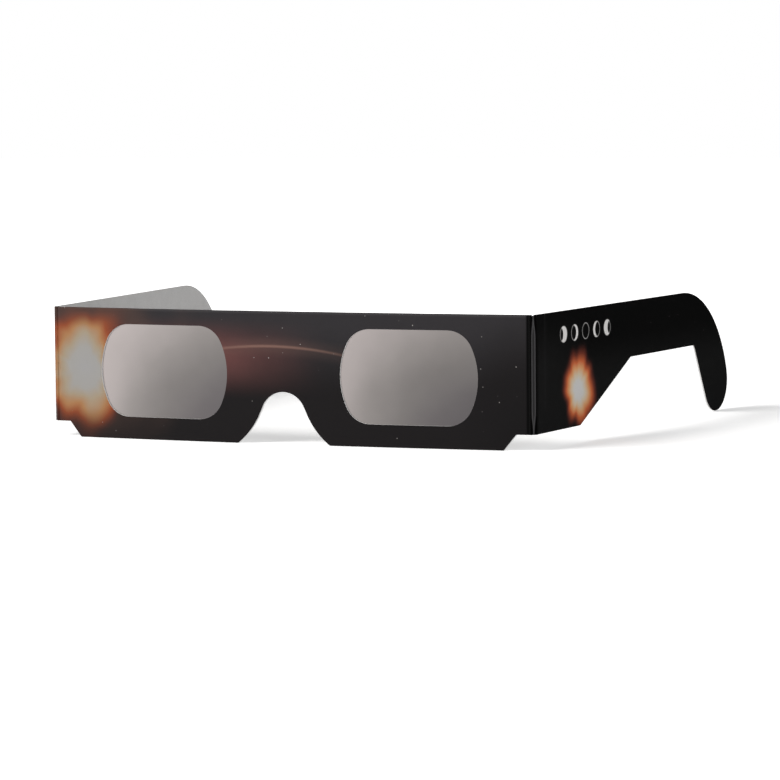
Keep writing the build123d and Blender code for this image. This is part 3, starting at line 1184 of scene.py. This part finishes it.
inner_flap = sheet_of(
    "inner_flap",
    [flap_half(False), flap_half(True)],
    [flap_side(), bare_card, cut_card],
)
make_card(inner_flap)
stands_for(inner_flap, "front", "plain_card", "liner_flap")

for side, sign in SIDES:
    film = sheet_of(f"{side}_film", [film_face(sign)], [film_metal])
    give_thickness(film, FILM)
    stands_for(film, "front", "filter_film", f"{side}_filter_film")

    strip = sheet_of(f"{side}_crease", strip_skins(sign), [crease_print])
    stands_for(strip, f"{side}_crease", "printed_card", f"{side}_crease_strip")

    temple_sides = [temple_print(side, sign), bare_card, cut_card]
    temple = sheet_of(f"{side}_arm", [temple_face(sign)], temple_sides)
    make_card(temple)
    stands_for(temple, f"{side}_temple", "printed_card", f"{side}_temple")

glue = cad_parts["glue_layer"]
glue.data.materials.clear()
glue.data.materials.append(dry_glue())


# Camera: the photograph's, fitted to the part

CAMERA_AIM = np.array([16.892, -33.976, 12.107]) * MM
CAMERA_AZIMUTH = math.radians(22.687)
CAMERA_RISE = math.radians(4.969)
CAMERA_ROLL = math.radians(-0.549)
CAMERA_DISTANCE = 976.34 * MM
CAMERA_LENS = 166.154

back = np.array([
    math.sin(CAMERA_AZIMUTH) * math.cos(CAMERA_RISE),
    -math.cos(CAMERA_AZIMUTH) * math.cos(CAMERA_RISE),
    math.sin(CAMERA_RISE),
])
level = np.array([math.cos(CAMERA_AZIMUTH), math.sin(CAMERA_AZIMUTH), 0])
upright = np.cross(back, level)
picture_right = math.cos(CAMERA_ROLL) * level + math.sin(CAMERA_ROLL) * upright
picture_up = math.cos(CAMERA_ROLL) * upright - math.sin(CAMERA_ROLL) * level
camera_axes = np.stack([picture_right, picture_up, back], axis=1)
camera_place = CAMERA_AIM + back * CAMERA_DISTANCE
camera_data = bpy.data.cameras.new("camera")
camera_data.lens = CAMERA_LENS
camera = bpy.data.objects.new("camera", camera_data)
camera.matrix_world = Matrix(
    [[*row, shift] for row, shift in zip(camera_axes, camera_place)] + [[0, 0, 0, 1]]
)
bpy.context.scene.collection.objects.link(camera)
bpy.context.scene.camera = camera


# Lamps: name, place, aim, size, watts and colour

LAMPS = (
    ("key_lamp", (-0.9, -1.2, 1.3), (0, 0, 0), 0.9, 30, (1, 0.985, 0.97)),
    ("edge_lamp", (0.6, -0.35, 0.2), (0.07, -0.06, 0.02), 0.3, 1.5, (0.97, 0.985, 1)),
)


def lamp(name, place, aim, size, power, colour):
    """A square soft lamp that faces the aim, and that gloss doesn't mirror."""
    data = bpy.data.lights.new(name, "AREA")
    data.size = size
    data.energy = power
    data.color = colour
    light = bpy.data.objects.new(name, data)
    light.location = place
    light.rotation_euler = (Vector(aim) - Vector(place)).to_track_quat("-Z", "Y").to_euler()
    light.visible_glossy = False
    bpy.context.scene.collection.objects.link(light)


for settings in LAMPS:
    lamp(*settings)


# Studio round the glasses

ROOM_BEHIND = -0.60
ROOM_RIGHT = -0.80
ROOM_ABOVE = 0.10
ROOM_RANGE = (-0.05, 1.10)
ROOM_WHITE = 1.0
ROOM_LEAST = 0.02
TABLE_RANGE = (-0.12, -0.55)
TABLE_WHITE = 0.45
SOFT_LIGHT = 0.21
WHITE = (1, 1, 1, 1)


def studio_world():
    """White to the camera. To gloss, a room that is bright before the glasses and to the left and
    falls off behind them, over a greyish table; to everything else, an even soft light."""
    world = bpy.data.worlds.new("studio")
    world.use_nodes = True
    bpy.context.scene.world = world
    tree = world.node_tree
    sky = tree.nodes["Background"]
    source = tree.nodes.new("ShaderNodeTexCoord")
    right, behind, above = Step(tree, source.outputs["Generated"]).parts()
    path = tree.nodes.new("ShaderNodeLightPath")
    seen, gloss, through = (
        Step(tree, path.outputs[n]) for n in ("Is Camera Ray", "Is Glossy Ray", "Is Transmission Ray")
    )
    facing = behind * ROOM_BEHIND + right * ROOM_RIGHT + above * ROOM_ABOVE
    under = above.ease(*TABLE_RANGE) * TABLE_WHITE
    room = facing.ease(*ROOM_RANGE).larger(under).larger(ROOM_LEAST)
    soft = (1 - gloss) * SOFT_LIGHT + gloss * room * ROOM_WHITE
    backdrop = seen.larger(through)
    feed(tree, sky.inputs["Strength"], (1 - backdrop) * soft + backdrop)
    feed(tree, sky.inputs["Color"], WHITE)


studio_world()


# Floor, which stays pale to the camera and keeps the shadow

FLOOR_HALF = 3.0
FLOOR_COLOUR = (0.88, 0.88, 0.88, 1)
FLOOR_LIFT = 0.45
FLOOR_WHITE = 1.0
SHADE_HALF = 0.12
SHADE_END = 0.45


def pale_floor():
    """One square sheet, lifted to white away from the glasses. Gloss passes it by, so that only the
    room shows in the print."""
    mesh = bpy.data.meshes.new("floor")
    corners = np.array([(-1, -1, 0), (1, -1, 0), (1, 1, 0), (-1, 1, 0)]) * FLOOR_HALF
    mesh.from_pydata(corners.tolist(), [], [(0, 1, 2, 3)])
    floor = bpy.data.objects.new("floor", mesh)
    bpy.context.scene.collection.objects.link(floor)
    material = bpy.data.materials.new("pale_floor")
    material.use_nodes = True
    mesh.materials.append(material)
    tree = material.node_tree
    tree.nodes.clear()
    path = tree.nodes.new("ShaderNodeLightPath")
    matt = tree.nodes.new("ShaderNodeBsdfDiffuse")
    matt.inputs["Color"].default_value = FLOOR_COLOUR
    lift = tree.nodes.new("ShaderNodeEmission")
    source = tree.nodes.new("ShaderNodeTexCoord")
    across, along, up = Step(tree, source.outputs["Object"]).parts()
    away = across.far(along).ease(SHADE_HALF, SHADE_END)
    seen = Step(tree, path.outputs["Is Camera Ray"])
    feed(tree, lift.inputs["Strength"], seen * (away * (FLOOR_WHITE - FLOOR_LIFT) + FLOOR_LIFT))
    lit = tree.nodes.new("ShaderNodeAddShader")
    tree.links.new(matt.outputs[0], lit.inputs[0])
    tree.links.new(lift.outputs[0], lit.inputs[1])
    open_air = tree.nodes.new("ShaderNodeBsdfTransparent")
    chosen = tree.nodes.new("ShaderNodeMixShader")
    tree.links.new(path.outputs["Is Glossy Ray"], chosen.inputs[0])
    tree.links.new(lit.outputs[0], chosen.inputs[1])
    tree.links.new(open_air.outputs[0], chosen.inputs[2])
    surface = tree.nodes.new("ShaderNodeOutputMaterial")
    tree.links.new(chosen.outputs[0], surface.inputs["Surface"])


pale_floor()

bpy.context.scene.view_settings.view_transform = "Standard"
